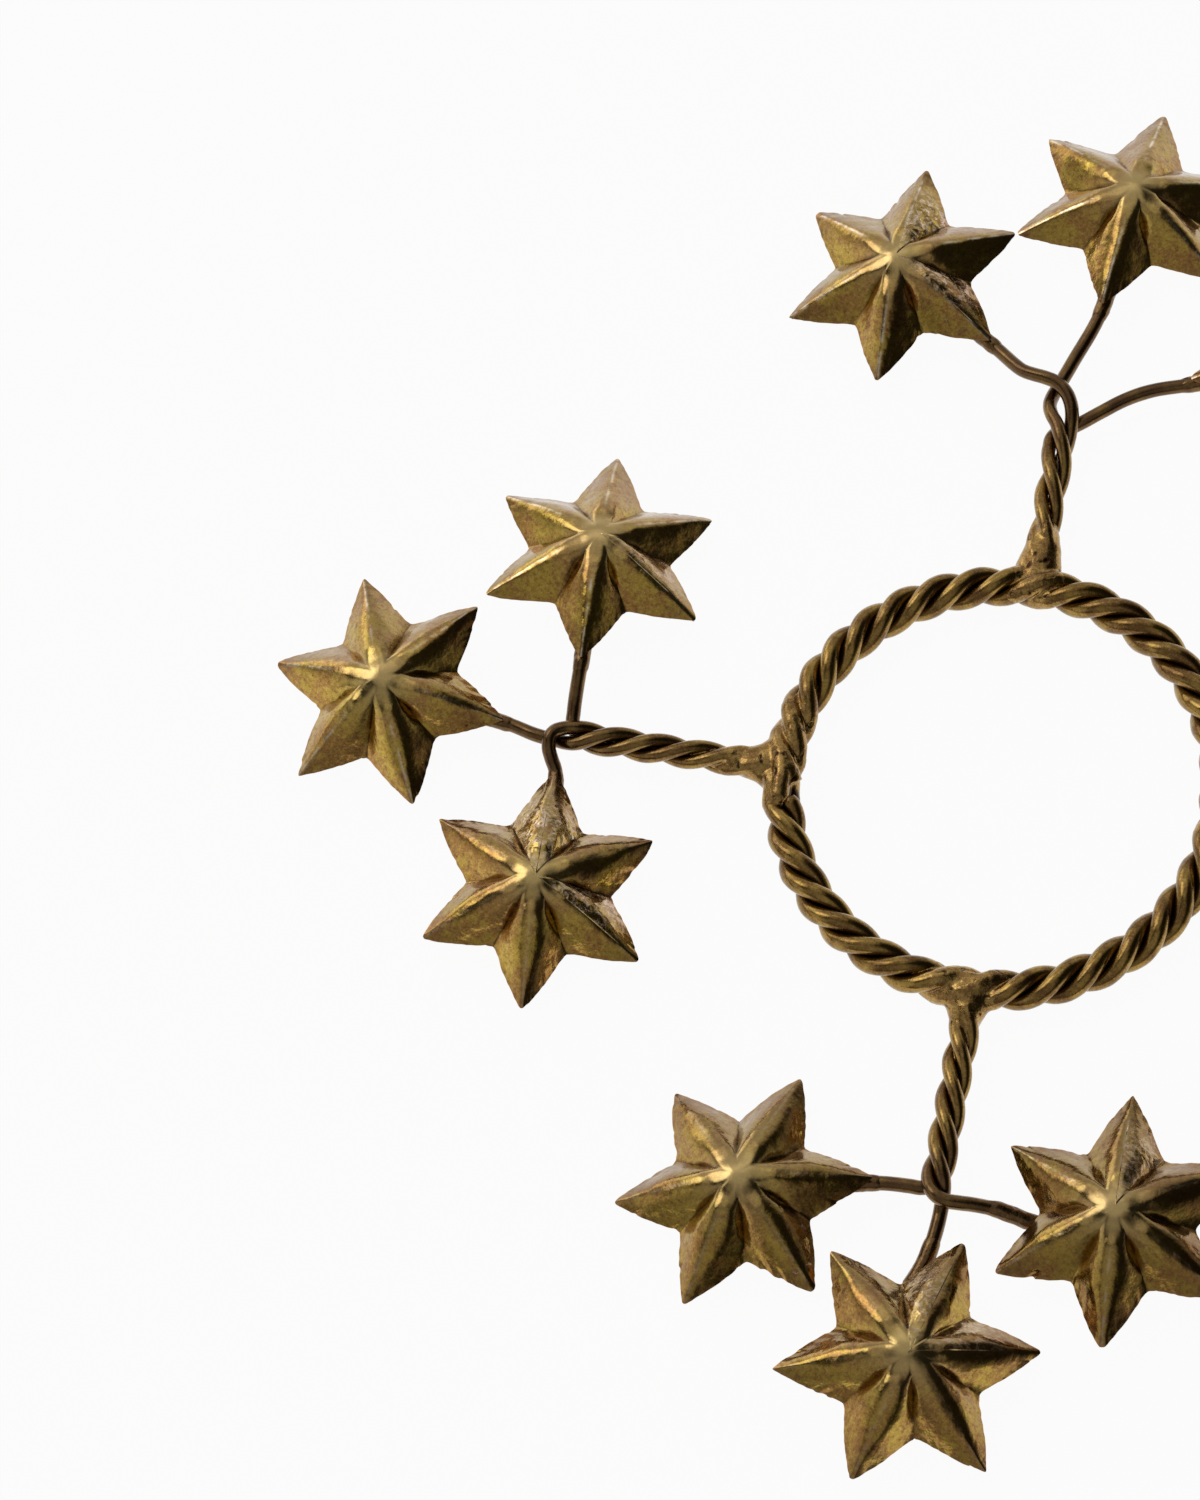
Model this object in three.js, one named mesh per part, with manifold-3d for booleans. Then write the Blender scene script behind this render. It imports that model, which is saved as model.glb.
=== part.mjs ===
// A candle ring: a twisted brass ring that drops over a taper and rests on the candlestick, with four
// twisted wire arms whose strands part at the end, each strand carrying a pressed six-pointed star.
// Millimetres, +Z up. The origin is on the ring's axis, in the plane that the ring rests on.
import * as THREE from 'three';
import { mergeVertices } from 'three/addons/utils/BufferGeometryUtils.js';
import Module from 'manifold-3d';

const wasm = await Module();
wasm.setup();

// Ring: strands twisted into a rope, bent round and butted at the west joint
const CANDLE_HOLE_DIA = 24;
const RING_WIRE_DIA = 1.06;
const RING_STRANDS = 3;
const RING_TWIST_TURNS = 11.5;
const RING_SEAM_ANGLE = 190;
const RING_SEAM_GAP = 0.7;
const RING_LAY_ANGLE = 100;

// Arms: one wire for each star, twisted together between the ring and the fork
const ARM_WIRE_DIA = 0.82;
const ARM_BUTT_GAP = 0.1;
const ARM_RISE = 0.45;

// Stars: pressed from sheet, hollow behind, a ridge down each point and a crease at each notch
const STAR_POINTS = 6;
const STAR_RADIUS = 7.8;
const NOTCH_RADIUS = 4.35;
const STAR_HEIGHT = 2.7;
const CROWN_FLAT = 0.75;
const POINT_BULGE = 0.22;
const RIDGE_PUFF = 0.22;
const SLOPE_BEND = 0.55;
const SHEET_THICKNESS = 0.35;

// Solder at the arm roots and behind the stars
const ROOT_FOOT_HEIGHT = 1.55;
const ROOT_LIP = 0.12;
const ROOT_OVERHANG = 0.55;
const BEAD_LENGTH = 3.4;
const BEAD_WIDTH = 2.6;
const BEAD_HEIGHT = 3.0;

// Clearances
const STRAND_GAP = 0.07;
const SOLDER_GAP = 0.06;
const REST_GAP = 0.05;
const WIRE_TO_RIM_GAP = 0.1;

// How far inside the rim each wire ends, and how deep it lies there
const WIRE_TUCK = 5.2;
const NOTCH_WIRE_TUCK = 2.2;
const TUCK_DEPTH = 0.25;

// Facets of the round pieces
const RING_SIDES = 8;
const ARM_SIDES = 6;
const STEPS_PER_TURN = 9;
const BRANCH_STEP = 0.8;
const ROUND_FACETS = 16;
const BEND_FACETS = 72;
const FOOT_BENDS = 8;

// Each arm, in its own frame: +X runs outwards along its heading and +Y is to the left hand of it.
// offset is how far the arm's axis lies beside the ring's centre, fork where the strands part, crossing
// how far beyond the fork the twist would bring the left strand on top, and leave how far before the
// fork a strand leaves the twist. footFlare is how sharply the root's foot widens towards the ring.
// A branch's via points are measured from the fork along X, from the arm's axis along Y and from the
// fork's height along Z.
// at is where the strand passes under the star's edge, slip how far it lies beside the point or notch
// there, aim the direction on to the star's centre, height that of the centre of the star's edge, and
// the star leans down towards leanTo.
const ARMS = [
  {
    name: 'north', heading: 90, offset: 0.05, fork: 26.4, crossing: 0, pitch: 9, loosen: 0.2,
    footWidth: 3.1, footFlare: 1.3, rootLength: 2.6,
    branches: [
      {
        side: 'left', leave: 3.4, entry: 'tip', slip: 0,
        at: [29.4, 5.25], aim: 57.5, height: 1.75, lean: 5.6, leanTo: 101,
        via: [[-2.1, -0.55, 0.1], [-1.3, -0.48, 0.4], [-0.4, -0.15, 0.62], [0.4, 0.55, 0.7],
          [0.85, 1.65, 0.6], [1.25, 2.95, 0.3]],
      },
      {
        side: 'middle', leave: 2.3, entry: 'tip', slip: 0,
        at: [32.6, -1.05], aim: -6.6, height: 1.4, lean: 7, leanTo: -24,
        via: [[-1.3, 0.88, 0.3], [-0.4, 1.0, -0.1], [0.9, 0.68, -0.38], [2.7, 0.1, -0.5]],
      },
      {
        side: 'right', leave: 3.5, entry: 'tip', slip: 0,
        at: [28.35, -7.2], aim: -72, height: 1.7, lean: 4, leanTo: -60,
        via: [[-2.45, 0.45, -0.5], [-2.0, -0.1, -0.75], [-1.5, -0.95, -0.65], [-0.6, -2.15, -0.5],
          [0.5, -3.65, -0.4], [1.3, -5.15, -0.4]],
      },
    ],
  },
  {
    name: 'west', heading: 180, offset: 0.85, fork: 27.2, crossing: 0, pitch: 7.6, loosen: 0.1,
    footWidth: 3.8, footFlare: 5, rootLength: 3.4,
    branches: [
      {
        side: 'left', leave: 0.9, entry: 'tip', slip: 0,
        at: [27.0, 3.4], aim: 94, height: 1.9, lean: 4.8, leanTo: 169,
        via: [[0.1, -0.05, 0.62], [0.5, 0.5, 0.66], [0.45, 1.25, 0.4]],
      },
      {
        side: 'middle', leave: 0.9, entry: 'tip', slip: 0,
        at: [30.8, 0.5], aim: -6.7, height: 1.8, lean: 5.8, leanTo: 69,
        via: [[0.4, 0.3, -0.34], [1.5, 0.15, -0.4]],
      },
      {
        side: 'right', leave: 1.2, entry: 'tip', slip: 0,
        at: [26.75, -3.5], aim: -86.6, height: 1.85, lean: 11.6, leanTo: -114,
        via: [[-0.55, -0.75, -0.55], [-0.38, -2.1, -0.3]],
      },
    ],
  },
  {
    name: 'south', heading: 270, offset: 0.45, fork: 26.1, crossing: 0.6, pitch: 7.2, loosen: 0,
    footWidth: 4.6, footFlare: 4, rootLength: 1.9,
    branches: [
      {
        side: 'left', leave: 0.7, entry: 'notch', slip: -0.45,
        at: [26.3, 6.8], aim: 92, height: 2.0, lean: 3.4, leanTo: -118,
        via: [[0.2, 0.05, 0.62], [0.5, 0.75, 0.62], [0.4, 2.2, 0.3], [0.35, 3.95, -0.2]],
      },
      {
        side: 'middle', leave: 0.7, entry: 'notch', slip: 0.55,
        at: [32.0, -0.5], aim: 14.9, height: 1.95, lean: 6.8, leanTo: 85,
        via: [[0.6, 0.5, -0.35], [2.2, 0.4, -0.5], [4.2, 0.05, -0.6]],
      },
      {
        side: 'right', leave: 0.95, entry: 'tip', slip: 0,
        at: [25.8, -3.1], aim: -75.9, height: 1.6, lean: 5.2, leanTo: -139,
        via: [[-0.42, -0.7, -0.6], [-0.35, -1.95, -0.55]],
      },
    ],
  },
  {
    name: 'east', heading: 0, offset: -0.2, fork: 26.8, crossing: 0, pitch: 7.8, loosen: 0.08,
    footWidth: 3.8, footFlare: 2.5, rootLength: 2.8,
    branches: [
      {
        side: 'left', leave: 0.85, entry: 'tip', slip: 0,
        at: [26.9, 3.5], aim: 88, height: 1.8, lean: 5, leanTo: 60,
        via: [[0.1, -0.05, 0.62], [0.5, 0.6, 0.66], [0.45, 1.6, 0.4]],
      },
      {
        side: 'middle', leave: 0.85, entry: 'tip', slip: 0,
        at: [31.2, 0.1], aim: 3, height: 1.6, lean: 6, leanTo: 10,
        via: [[0.4, 0.9, -0.34], [1.5, 0.8, -0.42]],
      },
      {
        side: 'right', leave: 1.1, entry: 'tip', slip: 0,
        at: [27.0, -3.5], aim: -92, height: 1.75, lean: 5.5, leanTo: -100,
        via: [[-0.55, -0.6, -0.58], [-0.38, -1.6, -0.45]],
      },
    ],
  },
];

const DEG = Math.PI / 180;
const TURN = 2 * Math.PI;

// The least distance between two neighbouring strands of a twist, centre to centre
function strandSpacing(layRadius, pitch, strands) {
  let least = Infinity;
  for (let share = 0; share <= 0.5; share += 0.005) {
    const turn = TURN / strands - TURN * share;
    const across = 2 * layRadius * Math.abs(Math.sin(turn / 2));
    least = Math.min(least, Math.hypot(across, share * pitch));
  }
  return least;
}

// The radius of the helix on which strands of this wire just clear each other
function layRadiusFor(wireDia, pitch, strands) {
  let low = 0;
  let high = 3 * wireDia;
  for (let i = 0; i < 40; i += 1) {
    const middle = (low + high) / 2;
    if (strandSpacing(middle, pitch, strands) < wireDia + STRAND_GAP) low = middle;
    else high = middle;
  }
  return high;
}

// The ring's lay is worked out where the twist is tightest, on the inside of the bend
const roughRopeRadius = RING_WIRE_DIA * 1.1;
const ringBendRadius = CANDLE_HOLE_DIA / 2 + roughRopeRadius;
const innerPitch = (TURN * (ringBendRadius - RING_WIRE_DIA / 2)) / RING_TWIST_TURNS;
const ringLayRadius = layRadiusFor(RING_WIRE_DIA, innerPitch, RING_STRANDS);
const ringRopeRadius = ringLayRadius + RING_WIRE_DIA / 2;
const ringRadius = CANDLE_HOLE_DIA / 2 + ringRopeRadius;
const ringHeight = REST_GAP + ringRopeRadius;
const ringOuterRadius = ringRadius + ringRopeRadius;

class RingStrand extends THREE.Curve {
  constructor(index) {
    super();
    this.index = index;
  }

  getPoint(t) {
    const seam = (RING_SEAM_GAP / ringRadius / 2) * (1 - 2 * t);
    const round = RING_SEAM_ANGLE * DEG + TURN * t + seam;
    const lay = RING_LAY_ANGLE * DEG + TURN * (this.index / RING_STRANDS + RING_TWIST_TURNS * t);
    const reach = ringRadius + ringLayRadius * Math.cos(lay);
    const rise = ringHeight + ringLayRadius * Math.sin(lay);
    return new THREE.Vector3(reach * Math.cos(round), reach * Math.sin(round), rise);
  }
}

// A round section of the given diameter, swept along a curve
function sweep(curve, dia, sides, steps) {
  const section = new THREE.Shape();
  for (let i = 0; i < sides; i += 1) {
    const angle = (TURN * i) / sides;
    const x = (dia / 2) * Math.cos(angle);
    const y = (dia / 2) * Math.sin(angle);
    if (i === 0) section.moveTo(x, y);
    else section.lineTo(x, y);
  }
  section.closePath();
  return new THREE.ExtrudeGeometry(section, { steps, extrudePath: curve, bevelEnabled: false });
}

function toSolid(geometry) {
  const bare = geometry.clone();
  bare.deleteAttribute('normal');
  bare.deleteAttribute('uv');
  const merged = mergeVertices(bare, 1e-4);
  return new wasm.Manifold(new wasm.Mesh({
    numProp: 3,
    vertProperties: merged.attributes.position.array,
    triVerts: new Uint32Array(merged.index.array),
  }));
}

function toGeometry(solid) {
  const mesh = solid.getMesh();
  const geometry = new THREE.BufferGeometry();
  geometry.setAttribute('position', new THREE.BufferAttribute(mesh.vertProperties, 3));
  geometry.setIndex(new THREE.BufferAttribute(mesh.triVerts, 1));
  geometry.computeVertexNormals();
  return geometry;
}

// The three strands of an arm's twist: the left strand is on top at the fork, and as seen going
// outwards the strands on top move to the left
const LAY_PLACE = { left: 0, middle: 1, right: 2 };

function armLayRadius(arm) {
  return layRadiusFor(ARM_WIRE_DIA, arm.pitch, arm.branches.length);
}

function armRopeRadius(arm) {
  return armLayRadius(arm) + ARM_WIRE_DIA / 2;
}

function twistPoint(arm, side, x) {
  const turned = (x - arm.fork - arm.crossing) / arm.pitch;
  const lay = 90 * DEG + TURN * (LAY_PLACE[side] / arm.branches.length + turned);
  const outer = THREE.MathUtils.smoothstep(x, arm.fork - 1.3 * arm.pitch, arm.fork);
  const radius = armLayRadius(arm) * (1 + arm.loosen * outer);
  const rise = ARM_RISE * THREE.MathUtils.smoothstep(x, ringOuterRadius, arm.fork);
  return new THREE.Vector3(x, arm.offset - radius * Math.cos(lay), ringHeight + rise + radius * Math.sin(lay));
}

// The star's place: its own +X points from the edge that the wire passes under to its centre
function starMatrix(branch) {
  const reach = branch.entry === 'tip' ? STAR_RADIUS : NOTCH_RADIUS;
  const aim = branch.aim * DEG;
  const [x, y] = branch.at;
  const place = new THREE.Matrix4().makeTranslation(
    x + reach * Math.cos(aim), y + reach * Math.sin(aim), branch.height,
  );
  const toward = branch.leanTo * DEG;
  const hinge = new THREE.Vector3(-Math.sin(toward), Math.cos(toward), 0);
  const lean = new THREE.Matrix4().makeRotationAxis(hinge, branch.lean * DEG);
  const turn = new THREE.Matrix4().makeRotationZ(aim);
  return place.multiply(lean).multiply(turn);
}

// Where the wire passes under the star's edge and where it ends, in the star's frame
function tuckedStretch(branch) {
  const tip = branch.entry === 'tip';
  const reach = tip ? STAR_RADIUS : NOTCH_RADIUS;
  const under = SHEET_THICKNESS + WIRE_TO_RIM_GAP + ARM_WIRE_DIA / 2;
  const end = reach - (tip ? WIRE_TUCK : NOTCH_WIRE_TUCK);
  return {
    edge: new THREE.Vector3(-reach, branch.slip, -under),
    end: new THREE.Vector3(-end, branch.slip / 2, -(tip ? TUCK_DEPTH : under)),
  };
}

function armWirePath(arm, branch) {
  const twisted = [];
  const start = ringOuterRadius + ARM_BUTT_GAP;
  const twistEnd = arm.fork - branch.leave;
  const count = Math.round(((twistEnd - start) / arm.pitch) * 16);
  for (let i = 0; i <= count; i += 1) {
    twisted.push(twistPoint(arm, branch.side, start + ((twistEnd - start) * i) / count));
  }
  const forkHeight = ringHeight + ARM_RISE;
  const via = branch.via.map(([x, y, z]) => new THREE.Vector3(arm.fork + x, arm.offset + y, forkHeight + z));
  const matrix = starMatrix(branch);
  const stretch = tuckedStretch(branch);
  const edge = stretch.edge.applyMatrix4(matrix);
  const end = stretch.end.applyMatrix4(matrix);
  return new THREE.CatmullRomCurve3([...twisted, ...via, edge, end], false, 'centripetal');
}

// The star's outline at an angle from the middle of a point (0) to its notch (1), and the height of its
// upper face there: ridges run from the crown to the tips, creases from the crown to the notches
function starOutline(share) {
  const half = Math.PI / STAR_POINTS;
  const tip = new THREE.Vector2(STAR_RADIUS, 0);
  const notch = new THREE.Vector2(NOTCH_RADIUS * Math.cos(half), NOTCH_RADIUS * Math.sin(half));
  const edge = notch.clone().sub(tip);
  const outwards = new THREE.Vector2(edge.y, -edge.x).normalize();
  const bulge = 4 * POINT_BULGE * share * (1 - share);
  return tip.addScaledVector(edge, share).addScaledVector(outwards, bulge);
}

// One loop of points round the star, at a share of the way out and a height along ridge and crease
function starLoop(out, ridgeHeight, creaseHeight) {
  const loop = [];
  for (let point = 0; point < STAR_POINTS; point += 1) {
    const along = (TURN * point) / STAR_POINTS;
    const nextAlong = along + TURN / STAR_POINTS;
    for (const [share, side, turn] of [[0, 1, along], [0.5, 1, along], [1, 1, along], [0.5, -1, nextAlong]]) {
      const flat = starOutline(share).multiplyScalar(out);
      flat.y *= side;
      flat.rotateAround(new THREE.Vector2(), turn);
      loop.push(new THREE.Vector3(flat.x, flat.y, ridgeHeight + (creaseHeight - ridgeHeight) * share));
    }
  }
  return loop;
}

// A closed surface through a stack of loops, with a point at the middle of the first and of the last
function stackedLoops(first, loops, last) {
  const positions = [];
  const face = (...corners) => corners.forEach((p) => positions.push(p.x, p.y, p.z));
  const inner = loops[0];
  const outer = loops[loops.length - 1];
  inner.forEach((_, i) => {
    const next = (i + 1) % inner.length;
    face(first, inner[i], inner[next]);
    for (let k = 0; k + 1 < loops.length; k += 1) {
      face(loops[k][i], loops[k + 1][i], loops[k + 1][next]);
      face(loops[k][i], loops[k + 1][next], loops[k][next]);
    }
    face(last, outer[next], outer[i]);
  });
  const geometry = new THREE.BufferGeometry();
  geometry.setAttribute('position', new THREE.Float32BufferAttribute(positions, 3));
  geometry.computeVertexNormals();
  return geometry;
}

const crownShare = CROWN_FLAT / NOTCH_RADIUS;

function starGeometry() {
  const slope = (out) => STAR_HEIGHT * (1 - out) / (1 - crownShare);
  const under = STAR_HEIGHT - SHEET_THICKNESS;
  const loops = [
    starLoop(crownShare, STAR_HEIGHT, STAR_HEIGHT),
    starLoop(SLOPE_BEND, slope(SLOPE_BEND) + RIDGE_PUFF, slope(SLOPE_BEND) - RIDGE_PUFF),
    starLoop(1, 0, 0),
    starLoop(1, -SHEET_THICKNESS, -SHEET_THICKNESS),
    starLoop(crownShare, under, under),
  ];
  return stackedLoops(new THREE.Vector3(0, 0, STAR_HEIGHT), loops, new THREE.Vector3(0, 0, under));
}

// The hollow behind the star, drawn in by the solder's gap and closed below the wire
function hollowGeometry() {
  const drop = SHEET_THICKNESS + SOLDER_GAP * 2;
  const roof = STAR_HEIGHT - drop;
  const floor = -(SHEET_THICKNESS + WIRE_TO_RIM_GAP + ARM_WIRE_DIA + BEAD_HEIGHT);
  const loops = [starLoop(crownShare, roof, roof), starLoop(1, -drop, -drop), starLoop(1, floor, floor)];
  return stackedLoops(new THREE.Vector3(0, 0, roof), loops, new THREE.Vector3(0, 0, floor));
}

// Solder behind a star, round the end of its wire and up against the inside of the sheet
function beadGeometry(branch, hollow) {
  const { edge, end } = tuckedStretch(branch);
  const ball = new THREE.SphereGeometry(0.5, 8, 6);
  ball.scale(BEAD_LENGTH, BEAD_WIDTH, BEAD_HEIGHT);
  ball.translate(end.x, end.y, end.z + BEAD_HEIGHT / 2 - ARM_WIRE_DIA);
  const beyond = end.clone().sub(edge).setLength(SOLDER_GAP).add(end);
  const bore = sweep(new THREE.LineCurve3(edge, beyond), ARM_WIRE_DIA + 2 * SOLDER_GAP, RING_SIDES, 1);
  const turned = branch.entry === 'tip' ? 0 : 180 / STAR_POINTS;
  const space = hollow.clone().rotateZ(turned * DEG);
  return toGeometry(toSolid(ball).intersect(toSolid(space)).subtract(toSolid(bore)));
}

// Solder at an arm's root: a sleeve round the twist that widens into a foot against the ring's rope,
// flat underneath where it lay on the block that it was soldered on
function rootGeometry(arm) {
  const ropeRadius = armRopeRadius(arm);
  const sleeve = ropeRadius + SOLDER_GAP + ROOT_LIP;
  const start = ringRadius - ROOT_OVERHANG;
  const end = ringOuterRadius + arm.rootLength;
  const foot = new THREE.CylinderGeometry(1, 1, end - start, ROUND_FACETS, FOOT_BENDS);
  foot.rotateZ(-90 * DEG);
  foot.translate((start + end) / 2, 0, 0);
  const corners = foot.attributes.position;
  for (let i = 0; i < corners.count; i += 1) {
    const narrowing = THREE.MathUtils.smoothstep(corners.getX(i), ringRadius, end);
    const flare = Math.pow(1 - narrowing, arm.footFlare);
    corners.setY(i, corners.getY(i) * (sleeve + (arm.footWidth / 2 - sleeve) * flare));
    corners.setZ(i, corners.getZ(i) * (sleeve + (ROOT_FOOT_HEIGHT - sleeve) * flare));
  }
  foot.translate(0, arm.offset, ringHeight);
  const armBore = new THREE.CylinderGeometry(
    ropeRadius + SOLDER_GAP, ropeRadius + SOLDER_GAP, 2 * end, ROUND_FACETS,
  );
  armBore.rotateZ(90 * DEG);
  armBore.translate(end, arm.offset, ringHeight);
  const ringBore = new THREE.TorusGeometry(ringRadius, ringRopeRadius + SOLDER_GAP, ROUND_FACETS, BEND_FACETS);
  ringBore.translate(0, 0, ringHeight);
  const below = new THREE.BoxGeometry(4 * end, 4 * end, end);
  below.translate(0, 0, -end / 2);
  const cut = [armBore, ringBore, below].reduce((rest, tool) => rest.subtract(toSolid(tool)), toSolid(foot));
  const outside = cut.decompose().sort((a, b) => b.volume() - a.volume())[0];
  return toGeometry(outside);
}

const brassWire = new THREE.MeshStandardMaterial({ color: 0x84693a, roughness: 0.4, metalness: 1 });
const brassSheet = new THREE.MeshStandardMaterial({ color: 0x9a8145, roughness: 0.42, metalness: 1 });
const solderMetal = new THREE.MeshStandardMaterial({ color: 0x7c6842, roughness: 0.5, metalness: 1 });

function named(name, geometry, material) {
  const mesh = new THREE.Mesh(geometry, material.clone());
  mesh.name = name;
  return mesh;
}

const candleRing = new THREE.Group();

for (let i = 0; i < RING_STRANDS; i += 1) {
  const steps = Math.round(RING_TWIST_TURNS * STEPS_PER_TURN);
  const strand = sweep(new RingStrand(i), RING_WIRE_DIA, RING_SIDES, steps);
  candleRing.add(named(`ring_strand_${i + 1}`, strand, brassWire));
}

const pressedStar = starGeometry();
const starHollow = hollowGeometry();

for (const arm of ARMS) {
  const armGroup = new THREE.Group();
  armGroup.rotation.z = arm.heading * DEG;
  candleRing.add(armGroup);
  armGroup.add(named(`${arm.name}_root_solder`, rootGeometry(arm), solderMetal));
  for (const branch of arm.branches) {
    const path = armWirePath(arm, branch);
    const steps = Math.round(path.getLength() / BRANCH_STEP);
    const wire = sweep(path, ARM_WIRE_DIA, ARM_SIDES, steps);
    armGroup.add(named(`${arm.name}_arm_wire_${branch.side}`, wire, brassWire));
    const starGroup = new THREE.Group();
    starGroup.applyMatrix4(starMatrix(branch));
    armGroup.add(starGroup);
    const star = named(`${arm.name}_star_${branch.side}`, pressedStar, brassSheet);
    star.rotation.z = branch.entry === 'tip' ? 0 : Math.PI / STAR_POINTS;
    starGroup.add(star);
    starGroup.add(named(`${arm.name}_star_${branch.side}_solder`, beadGeometry(branch, starHollow), solderMetal));
  }
}

export default candleRing;
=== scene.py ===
"""A candle ring of twisted brass wire with twelve pressed stars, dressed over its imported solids."""
import math

import bmesh
import bpy
import numpy as np
from mathutils import Matrix, Vector, kdtree, noise


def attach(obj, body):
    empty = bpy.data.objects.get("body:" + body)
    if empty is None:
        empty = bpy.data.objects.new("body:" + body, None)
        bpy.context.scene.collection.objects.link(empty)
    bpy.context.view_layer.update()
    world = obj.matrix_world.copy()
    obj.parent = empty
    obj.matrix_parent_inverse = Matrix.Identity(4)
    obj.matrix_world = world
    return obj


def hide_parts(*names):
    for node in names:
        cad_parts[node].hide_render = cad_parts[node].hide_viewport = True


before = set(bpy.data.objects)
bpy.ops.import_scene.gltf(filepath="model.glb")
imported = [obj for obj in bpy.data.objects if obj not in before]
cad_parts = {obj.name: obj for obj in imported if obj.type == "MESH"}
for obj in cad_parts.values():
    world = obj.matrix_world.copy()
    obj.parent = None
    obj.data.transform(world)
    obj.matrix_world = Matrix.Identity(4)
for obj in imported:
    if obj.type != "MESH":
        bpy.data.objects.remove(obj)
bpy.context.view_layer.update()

MM = 0.001

ARMS = ("north", "west", "south", "east")
SIDES = ("left", "middle", "right")
HEADINGS = {"north": 90, "west": 180, "south": 270, "east": 0}

# Wire: a hair thicker than in the solids, so that the strands of a twist touch
RING_WIRE_RADIUS = 0.562 * MM
ARM_WIRE_RADIUS = 0.442 * MM

# The die that strikes the stars. The crown is round over this share of the way to the rim, and a belly
# above 1 bows the flanks out. Each triangle of the blank is cut this often, so that it takes the shape.
STAR_RADIUS = 7.78 * MM
NOTCH_RADIUS = 4.35 * MM
STAR_HEIGHT = 2.68 * MM
CROWN_ROUND = 0.2
FLANK_BELLY = 1.12
SHEET_THICKNESS = 0.33 * MM
STAR_CUTS = 39
POINT_TURN = math.radians(60)
HALF_POINT = math.radians(30)

# How far the sides of a point bulge, and how softly its tip and the notches beside it are rounded
SIDE_BULGE = 0.26 * MM
TIP_SOFTNESS = 0.05 * MM
NOTCH_SOFTNESS = 0.16 * MM
NOTCH_FILL = 0.12 * MM
BLUNTEST_TIP = 0.2
SHARPEST_TIP = 0.02

# How round a ridge is, in mm: as struck, what full wear adds, and what the crown adds within its reach
RIDGE_ROUND = 0.075
RIDGE_WEAR = 0.5
RIDGE_AT_CROWN = 0.45
CROWN_REACH = 2.8 * MM

# Where each crease dips as it leaves the crown
DIP_DEPTH = 0.14 * MM
DIP_PLACE = 2.1 * MM
DIP_WIDTH = 0.9 * MM

# Widths of the rubbed line on a ridge, which also carries a painted highlight, of the rubbed crown and of the
# rubbed part of a ridge beside it
CREST_LINE = 0.085 * MM
RUBBED_CROWN = 2.1 * MM
RUBBED_RIDGE = 0.35 * MM
RUBBED_RIDGE_REACH = 3.6 * MM

# Half the sheet's thickness in the solids, from the middle of the rim up to its upper edge
HALF_RIM = 0.175 * MM

# Corners sharper than these stay sharp when a piece is shaded, and points closer than this are welded
SHEET_CORNER = math.radians(42)
WIRE_CORNER = math.radians(50)
END_CORNER = math.radians(75)
WELD = 1e-6


# Work at the bench

def drop_selection():
    """Leaves edit mode and selects nothing."""
    if bpy.context.object and bpy.context.object.mode != "OBJECT":
        bpy.ops.object.mode_set(mode="OBJECT")
    bpy.ops.object.select_all(action="DESELECT")


def pick_up(piece):
    """Selects one piece alone and makes it the active one."""
    drop_selection()
    piece.select_set(True)
    bpy.context.view_layer.objects.active = piece


def select_points(piece, wanted):
    """Selects the points of a piece by their place, and leaves it in edit mode."""
    bpy.ops.object.mode_set(mode="EDIT")
    bpy.ops.mesh.select_mode(type="VERT")
    bpy.ops.mesh.select_all(action="DESELECT")
    bpy.ops.object.mode_set(mode="OBJECT")
    for point in piece.data.vertices:
        point.select = wanted(point.co)
    bpy.ops.object.mode_set(mode="EDIT")


def apply_modifier(piece, kind, **settings):
    pick_up(piece)
    modifier = piece.modifiers.new(kind.title(), kind)
    for name, value in settings.items():
        setattr(modifier, name, value)
    bpy.ops.object.modifier_apply(modifier=modifier.name)


def read_points(mesh):
    points = np.empty(len(mesh.vertices) * 3)
    mesh.vertices.foreach_get("co", points)
    return points.reshape(-1, 3)


def write_points(mesh, points):
    mesh.vertices.foreach_set("co", points.astype(np.float32).ravel())
    mesh.update()


def read_normals(mesh):
    normals = np.empty(len(mesh.vertices) * 3)
    mesh.vertices.foreach_get("normal", normals)
    return normals.reshape(-1, 3)


def store(mesh, name, values):
    """Keeps one number for each point of a mesh, for its material to read."""
    attribute = mesh.attributes.get(name) or mesh.attributes.new(name, "FLOAT", "POINT")
    attribute.data.foreach_set("value", np.asarray(values, dtype=np.float32))


def ease(low, high, x):
    """Rises smoothly from 0 at low to 1 at high, or falls where low is above high."""
    share = np.clip((x - low) / (high - low), 0, 1)
    return share * share * (3 - 2 * share)


def unevenness(points, size, seed):
    """Smooth noise between about -1 and 1 at each point, with lumps of the given size."""
    shift = Vector((seed * 3.71, seed * 1.93, seed * 7.17))
    return np.array([noise.noise(Vector(p) / size + shift) for p in points]) * 1.8


def flat_star():
    """The blank: a flat six-pointed star in fine triangles, points on the X axis and every 60 degrees."""
    bpy.ops.mesh.primitive_circle_add(vertices=12, radius=NOTCH_RADIUS, fill_type="TRIFAN")
    blank = bpy.context.object
    blank.name = "star_blank"

    def on_a_point(p):
        turn = math.atan2(p.y, p.x) / POINT_TURN
        return p.length > 0.5 * NOTCH_RADIUS and abs(turn - round(turn)) < 0.1

    select_points(blank, on_a_point)
    stretch = STAR_RADIUS / NOTCH_RADIUS
    bpy.ops.transform.resize(value=(stretch, stretch, 1), center_override=(0, 0, 0))
    bpy.ops.mesh.select_all(action="SELECT")
    bpy.ops.mesh.subdivide(number_cuts=STAR_CUTS)
    bpy.ops.object.mode_set(mode="OBJECT")
    return blank


def rounded(distance, size):
    """A distance whose start is rounded off, so that a cone's apex becomes a dome."""
    return np.sqrt(distance * distance + size * size) - size


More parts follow.
